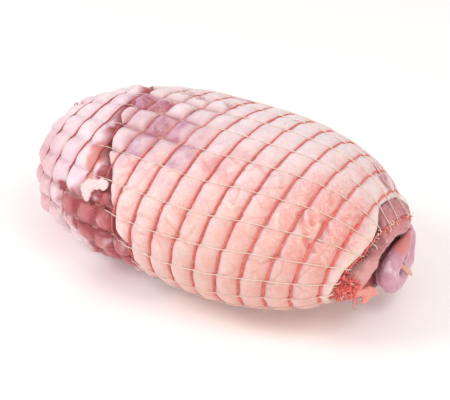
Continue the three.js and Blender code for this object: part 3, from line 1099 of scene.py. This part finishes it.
def chain(path, count, across):
    """Balls strung evenly along a path of (along, across, up, radius) in millimetres, all flat one way."""
    stops = np.array(path) * MM
    run = run_along(stops[:, :3])
    places = np.linspace(0, run[-1], count)
    balls = np.stack([np.interp(places, run, column) for column in stops.T], axis=-1)
    return [(ball[:3], across, ball[3]) for ball in balls]


def lump_mesh(name, balls, flatness, voxel, smoothing):
    """One smooth lump grown together from balls: (place, the direction it is flat across, radius)."""
    def build(shape):
        for place, across, radius in balls:
            turn = Vector(across).to_track_quat("Z", "Y").to_matrix().to_4x4()
            squash = Matrix.Diagonal((radius, radius, radius * flatness, 1))
            matrix = Matrix.Translation(place) @ turn @ squash
            bmesh.ops.create_icosphere(shape, subdivisions=2, radius=1, matrix=matrix)
    holder = bpy.data.objects.new(name, mesh_from(build))
    grow = holder.modifiers.new("grow", "REMESH")
    grow.mode = "VOXEL"
    grow.voxel_size = voxel
    soften = holder.modifiers.new("soften", "SMOOTH")
    soften.factor = 0.5
    soften.iterations = smoothing
    return baked(holder)


def roughen(mesh, size, depth, offset):
    """Moves a mesh's points out and in along its normals by lumps of noise."""
    points = vertex_places(mesh)
    normals = np.empty(points.size)
    mesh.vertices.foreach_get("normal", normals)
    height = depth * grain(points, size, offset)
    set_vertices(mesh, points + normals.reshape(-1, 3) * height[:, None])


def spans_away(points, centre, spans):
    """How far points lie from a centre, counted in its spans along, across and up."""
    return np.linalg.norm((points - centre) / spans, axis=1)


class SHOULDER_OT_fold(bpy.types.Operator):
    """Make the fold of meat that hangs on the cut end, with its strand of sinew"""

    bl_idname = "shoulder.fold"
    bl_label = "End Fold"

    def execute(self, context):
        paths = (FOLD_LOBE, FOLD_RIM, FOLD_WEB)
        lobes = [ball for path in paths for ball in chain(path, FOLD_BALLS, ALONG_ROLL)]
        balls = lobes + chain(FOLD_ROOT, FOLD_BALLS, ALONG_ROLL)
        mesh = lump_mesh("end_fold", balls, FOLD_FLATNESS, voxel=0.7 * MM, smoothing=6)
        roughen(mesh, 9 * MM, 0.5 * MM, 61)
        places = vertex_places(mesh)
        spans = (FOLD_FLATNESS, 1, 1)
        from_lobes = np.min([spans_away(places, ball[0], spans) - ball[2] for ball in lobes], axis=0)
        behind = smoothstep(0, 0.7 * MM, from_lobes)
        crevice = behind * (1 - smoothstep(2 * MM, 7 * MM, from_lobes))
        points = places / MM
        upper_face = 1 - smoothstep(0.7, 1.2, spans_away(points, *SALMON_FACE))
        top_strip = 1 - smoothstep(0.7, 1.3, spans_away(points, *SALMON_STRIP))
        from_groove = np.min([spans_away(points, stop, FOLD_GROOVE_SPANS) for stop in FOLD_GROOVE], axis=0)
        groove = 1 - smoothstep(0.4, 1.2, from_groove)
        set_mask(mesh, "salmon", np.maximum(upper_face, top_strip))
        set_mask(mesh, "root", behind)
        # Painted shade in the groove between the lobes and in the crevice behind them
        set_mask(mesh, "deep", np.maximum(0.45 * groove, 0.9 * crevice))
        add_piece("end_fold", mesh, fold_finish(), "raw_meat", "meat_roll")
        balls = chain(TENDON, TENDON_BALLS, ALONG_ROLL)
        strand = lump_mesh("sinew", balls, 0.8, voxel=0.35 * MM, smoothing=2)
        roughen(strand, 2.5 * MM, 0.25 * MM, 67)
        add_piece("sinew", strand, sinew_finish(), "raw_meat", "meat_roll")
        return {"FINISHED"}


class SHOULDER_OT_scraps(bpy.types.Operator):
    """Make the torn scrap of fat below the cap's far edge and the loose flap under the lip"""

    bl_idname = "shoulder.scraps"
    bl_label = "Fat Scraps"

    def execute(self, context):
        along, degrees, radius = np.array(TORN_SCRAP).T
        x = along * MM
        angle = degrees * DEGREE
        places = point_above(x, angle, np.full_like(x, -TORN_SCRAP_DEPTH))
        balls = list(zip(places, outward(x, angle), radius * MM))
        fat = scrap_finish()
        scrap = lump_mesh("torn_scrap", balls, 0.5, voxel=0.45 * MM, smoothing=3)
        roughen(scrap, 2.4 * MM, 0.7 * MM, 71)
        set_mask(scrap, "blush", np.full(len(scrap.vertices), 0.22))
        add_piece("torn_scrap", scrap, fat, "raw_meat", "meat_roll")
        balls = chain(LOOSE_FLAP, FLAP_BALLS, TOWARDS_LIP) + chain(FLAP_TIP, TIP_BALLS, TOWARDS_LIP)
        flap = lump_mesh("loose_flap", balls, 0.55, voxel=0.4 * MM, smoothing=2)
        roughen(flap, 1.9 * MM, 1.0 * MM, 73)
        set_mask(flap, "blush", np.full(len(flap.vertices), 0.9))
        add_piece("loose_flap", flap, fat, "raw_meat", "meat_roll")
        return {"FINISHED"}


def yarn_section(radius, sides):
    """A closed cross-section that bulges over each strand of a yarn."""
    curve = bpy.data.curves.new("section", "CURVE")
    spline = curve.splines.new("POLY")
    spline.points.add(sides - 1)
    spline.use_cyclic_u = True
    for k, point in enumerate(spline.points):
        turn = 2 * math.pi * k / sides
        reach = radius * (1 + STRAND_BULGE * math.cos(STRANDS * turn))
        point.co = (reach * math.cos(turn), reach * math.sin(turn), 0, 1)
    section = bpy.data.objects.new("section", curve)
    bpy.context.scene.collection.objects.link(section)
    return section


def cord_mesh(name, paths, radius, sides, lay, closed=False):
    """One mesh of cords along paths of (x, y, z, share of the radius), twisted once in every `lay`."""
    section = yarn_section(radius, sides)
    curve = bpy.data.curves.new(name, "CURVE")
    curve.dimensions = "3D"
    curve.twist_mode = "MINIMUM"
    curve.bevel_mode = "OBJECT"
    curve.bevel_object = section
    curve.use_fill_caps = not closed
    for path in paths:
        places = path[:, :3]
        spline = curve.splines.new("POLY")
        spline.points.add(len(path) - 1)
        spline.points.foreach_set("co", np.column_stack([places, np.ones(len(path))]).ravel())
        spline.points.foreach_set("radius", path[:, 3])
        spline.points.foreach_set("tilt", run_along(places) / lay * 2 * math.pi)
        spline.use_cyclic_u = closed
    mesh = baked(bpy.data.objects.new(name, curve))
    bpy.data.objects.remove(section)
    mesh.shade_smooth()
    return mesh


def taut(lift, reach, wraps):
    """A cord's lift over uneven ground: it spans hollows that are shorter than twice `reach` points."""
    padded = np.pad(lift, 2 * reach, mode="wrap" if wraps else "edge")
    count = len(padded)
    highest = np.max([padded[k:count - 2 * reach + k] for k in range(2 * reach + 1)], axis=0)
    window = np.hanning(2 * reach + 3)[1:-1]
    return np.convolve(highest, window / window.sum(), mode="valid")


def over_gap(x, angle):
    """How near each point is to the gap beside the cap's far edge, from 0 to 1."""
    return band(edge_line(angle, FAR_EDGE) - x, -4 * MM, 0, 7 * MM, 13 * MM)


def cord_ground(x, angle, lift, wraps):
    """The lift that a taut cord follows: close to the meat, but straight across the gap."""
    close = taut(lift, 2, wraps)
    bridging = taut(lift, 8, wraps)
    return close + (bridging - close) * 0.8 * over_gap(x, angle)


def hoop_thickness(x, angle):
    """How much of a hoop's thickness stands free: thin over the top, pinched in at the far end."""
    top = band(angle / DEGREE, 10, 40, 95, 120)
    far = band(x / MM, -104, -100, -34, -14)
    pinched = np.maximum(0.7 * far, softness(x, angle)) * (1 - over_gap(x, angle))
    return 1 - 0.3 * top * (1 - pinched) - 0.5 * pinched


class SHOULDER_OT_hoops(bpy.types.Operator):
    """Make the elastic hoops that lie in the furrows"""

    bl_idname = "shoulder.hoops"
    bl_label = "Net Hoops"

    def execute(self, context):
        radius = sizes().hoop_radius
        place = np.arange(THREAD_COUNT * POINTS_PER_CELL) / POINTS_PER_CELL
        paths = []
        for number in range(HOOP_COUNT):
            angle = seam_angle(thread_angle(place, HOOPS[number]))
            x = hoop_station(number, angle) + hoop_shift(place)
            thickness = hoop_thickness(x, angle)
            ground = cord_ground(x, angle, visible_lift(x, angle), True)
            buried = 0.5 * MM * smoothstep(0.6, 0.95, softness(x, angle)) * (1 - over_gap(x, angle))
            raised = 0.6 * MM * (1 - smoothstep(-62 * MM, -50 * MM, x))
            lift = ground + (1 - 1.3 * (1 - thickness)) * radius - buried + raised
            path = point_above(x, angle, lift, RADII_OFF_FLOOR * radius)
            paths.append(np.column_stack([path, thickness]))
        mesh = cord_mesh("net_hoops", paths, radius, HOOP_SIDES, HOOP_LAY, closed=True)
        add_piece("net_hoops", mesh, hoop_finish(), "net_cord", "net")
        return {"FINISHED"}


class SHOULDER_OT_threads(bpy.types.Operator):
    """Make the threads that run along the roll and cross over the hoops"""

    bl_idname = "shoulder.threads"
    bl_label = "Net Threads"

    def execute(self, context):
        radius = sizes().thread_radius
        rows = np.arange((HOOP_COUNT - 1) * POINTS_PER_CELL + 1) / POINTS_PER_CELL
        over_hoop = np.abs(rows - np.round(rows)) < 0.5 / POINTS_PER_CELL
        paths = []
        for number in range(THREAD_COUNT):
            sway = 0.012 * np.sin(rows * 2.1 + number * 1.7)
            first_angle = seam_angle(thread_angle(number, HOOPS[0]))
            stations = [hoop_station(n, first_angle) for n in range(HOOP_COUNT)]
            x = np.interp(rows, np.arange(HOOP_COUNT), stations)
            angle = seam_angle(thread_angle(number + sway, x))
            ground = visible_lift(x, angle) + np.where(over_hoop, 1.5 * sizes().hoop_radius, 0)
            buried = softness(x, angle) * (1 - over_gap(x, angle))
            lift = cord_ground(x, angle, ground, False) + 0.65 * radius - 1.2 * MM * buried
            thickness = 1 - 0.4 * np.maximum(buried, 1 - smoothstep(-70 * MM, -30 * MM, x))
            path = point_above(x, angle, lift, RADII_OFF_FLOOR * radius)
            paths.append(np.column_stack([path, thickness]))
        mesh = cord_mesh("net_threads", paths, radius, THREAD_SIDES, THREAD_LAY)
        add_piece("net_threads", mesh, thread_finish(), "net_cord", "net")
        return {"FINISHED"}


def curl(dice, start, heading, lengths, bend):
    """A loose end of yarn: a path that sets out in a heading and winds at random, tapering to its tip."""
    step = 0.7 * MM
    taper = 0.45
    off_floor = 0.8 * MM
    count = max(int(dice.uniform(*lengths) * MM / step), 4)
    heading = Vector(heading).normalized()
    axis = Vector([dice.gauss(0, 1) for _ in range(3)]).normalized()
    place = Vector(start)
    path = []
    for k in range(count):
        path.append((*place, 1 - taper * k / count))
        heading = Matrix.Rotation(bend * dice.uniform(0.4, 1.3), 3, axis) @ heading
        axis = (axis + Vector([dice.gauss(0, 0.35) for _ in range(3)])).normalized()
        place = place + heading * step
        place.z = max(place.z, off_floor)
    return np.array(path)


def tuft_start(dice):
    """Where a shred of the tuft sets out, low on the cut end beside the lip, and which way it heads."""
    angle = np.array([dice.triangular(*TUFT_ROUND) * DEGREE])
    x = edge_line(angle, CUT_EDGE) + dice.triangular(*TUFT_PAST_LIP) * MM
    start = point_above(x, angle, lean_lift(x, angle) + dice.uniform(0, 2) * MM)[0]
    stray = (dice.uniform(-0.5, 0.8), dice.uniform(-0.4, 1), dice.uniform(-1, 0.6))
    return start, 0.5 * outward(x, angle)[0] + stray


def fray_start(dice, x, angle, height, stray):
    """Where a loose end sets out above the meat, and a heading that strays from straight out."""
    start = point_above(x, angle, visible_lift(x, angle) + height)[0]
    return start, outward(x, angle)[0] + [dice.uniform(-stray, stray) for _ in range(3)]


class SHOULDER_OT_loose_ends(bpy.types.Operator):
    """Make the frayed ends of hoop cord and thread along the lip, and the tuft they gather into"""

    bl_idname = "shoulder.loose_ends"
    bl_label = "Net Loose Ends"

    def execute(self, context):
        dice = random.Random(RANDOM_SEED)
        matted = []
        for _ in range(TUFT_SHREDS):
            shred = curl(dice, *tuft_start(dice), SHRED_LENGTHS, 0.5)
            thickness = dice.uniform(0.5, 1.15) * MM
            matted += [(place[:3], UPWARDS, thickness * place[3]) for place in shred]
        tuft = lump_mesh("net_tuft", matted, 0.8, voxel=0.35 * MM, smoothing=1)
        add_piece("net_tuft", tuft, bpy.data.materials["net_hoop_yarn"], "net_cord", "net")
        ends = {"hoop": [], "thread": []}
        for _ in range(TUFT_CURLS):
            yarn = "hoop" if dice.random() < 0.8 else "thread"
            ends[yarn].append(curl(dice, *tuft_start(dice), CURL_LENGTHS, 0.7))
        for _ in range(FAR_CURLS):
            x = np.array([FAR_FRAY[0] + dice.uniform(-2, 3)]) * MM
            angle = np.array([FAR_FRAY[1] + dice.uniform(-3, 5)]) * DEGREE
            ends["hoop"].append(curl(dice, *fray_start(dice, x, angle, 0, 1), FAR_LENGTHS, 0.9))
        for _ in range(FRAY_CURLS):
            angle = np.array([dice.uniform(*FRAY_ROUND) * DEGREE])
            x = hoop_station(0, angle)
            start, heading = fray_start(dice, x, angle, sizes().hoop_radius, 1.2)
            yarn = "hoop" if dice.random() < 0.6 else "thread"
            ends[yarn].append(curl(dice, start, heading, FRAY_LENGTHS, 0.7))
        for _ in range(DANGLING_CURLS):
            start = Vector(DANGLING_END) * MM + Vector([dice.uniform(-0.7, 0.7) * MM for _ in range(3)])
            ends["hoop"].append(curl(dice, start, (0.1, 0, -1), DANGLING_LENGTHS, 0.1))
        for yarn, paths in ends.items():
            mesh = cord_mesh("frayed_" + yarn, paths, sizes().fray_radius, THREAD_SIDES, FRAY_LAY)
            add_piece("frayed_" + yarn, mesh, bpy.data.materials[f"net_{yarn}_yarn"], "net_cord", "net")
        return {"FINISHED"}


def look_at(holder, place, target):
    holder.location = place
    holder.rotation_euler = (target - place).to_track_quat("-Z", "Y").to_euler()


def add_lamp(name, place, size, power, colour):
    lamp = bpy.data.lights.new(name, "AREA")
    lamp.shape = "DISK"
    lamp.size = size
    lamp.energy = power
    lamp.color = colour
    holder = bpy.data.objects.new(name, lamp)
    bpy.context.scene.collection.objects.link(holder)
    look_at(holder, Vector(place), CAMERA_TARGET)


class SHOULDER_OT_stage(bpy.types.Operator):
    """Set the pale floor, the soft studio light and the camera"""

    bl_idname = "shoulder.stage"
    bl_label = "Stage"

    def execute(self, context):
        scene = context.scene
        mesh = mesh_from(lambda shape: bmesh.ops.create_grid(
            shape, x_segments=1, y_segments=1, size=FLOOR_HALF_SIZE))
        floor = bpy.data.objects.new("floor", mesh)
        mesh.materials.append(floor_finish())
        scene.collection.objects.link(floor)
        world = bpy.data.worlds.new("studio")
        world.use_nodes = True
        sky = world.node_tree.nodes["Background"]
        sky.inputs["Color"].default_value = SKY_COLOUR
        sky.inputs["Strength"].default_value = SKY_STRENGTH
        scene.world = world
        add_lamp("key", **KEY_LIGHT)
        add_lamp("fill", **FILL_LIGHT)
        back = Vector((
            math.sin(CAMERA_AZIMUTH) * math.cos(CAMERA_ELEVATION),
            -math.cos(CAMERA_AZIMUTH) * math.cos(CAMERA_ELEVATION),
            math.sin(CAMERA_ELEVATION),
        ))
        eye = bpy.data.cameras.new("camera")
        eye.sensor_width = SENSOR_WIDTH
        eye.sensor_fit = "HORIZONTAL"
        eye.lens = CAMERA_FOCUS_PIXELS / PICTURE_WIDTH_PIXELS * SENSOR_WIDTH
        camera = bpy.data.objects.new("camera", eye)
        scene.collection.objects.link(camera)
        look_at(camera, CAMERA_TARGET + back * CAMERA_DISTANCE, CAMERA_TARGET)
        scene.camera = camera
        scene.view_settings.view_transform = "Standard"
        scene.view_settings.look = "None"
        return {"FINISHED"}


class SHOULDER_PT_panel(bpy.types.Panel):
    """Lists the pieces of the shoulder, its sizes and its colours"""

    bl_idname = "SHOULDER_PT_panel"
    bl_label = "Netted Lamb Shoulder"
    bl_space_type = "VIEW_3D"
    bl_region_type = "UI"
    bl_category = "Shoulder"

    def draw(self, context):
        for step in STEPS:
            self.layout.operator(step.bl_idname)
        for group in (sizes(), colours()):
            box = self.layout.box()
            for name in group.__annotations__:
                box.prop(group, name)


STEPS = (
    SHOULDER_OT_stage,
    SHOULDER_OT_lean,
    SHOULDER_OT_cap,
    SHOULDER_OT_fold,
    SHOULDER_OT_scraps,
    SHOULDER_OT_hoops,
    SHOULDER_OT_threads,
    SHOULDER_OT_loose_ends,
)
CLASSES = (ShoulderSizes, ShoulderColours, *STEPS, SHOULDER_PT_panel)


def register():
    for made in CLASSES:
        bpy.utils.register_class(made)
    bpy.types.Scene.shoulder_sizes = bpy.props.PointerProperty(type=ShoulderSizes)
    bpy.types.Scene.shoulder_colours = bpy.props.PointerProperty(type=ShoulderColours)


def unregister():
    del bpy.types.Scene.shoulder_colours
    del bpy.types.Scene.shoulder_sizes
    for made in reversed(CLASSES):
        bpy.utils.unregister_class(made)


def main():
    register()
    for step in STEPS:
        group, name = step.bl_idname.split(".")
        getattr(getattr(bpy.ops, group), name)()
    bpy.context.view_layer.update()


if __name__ == "__main__":
    main()
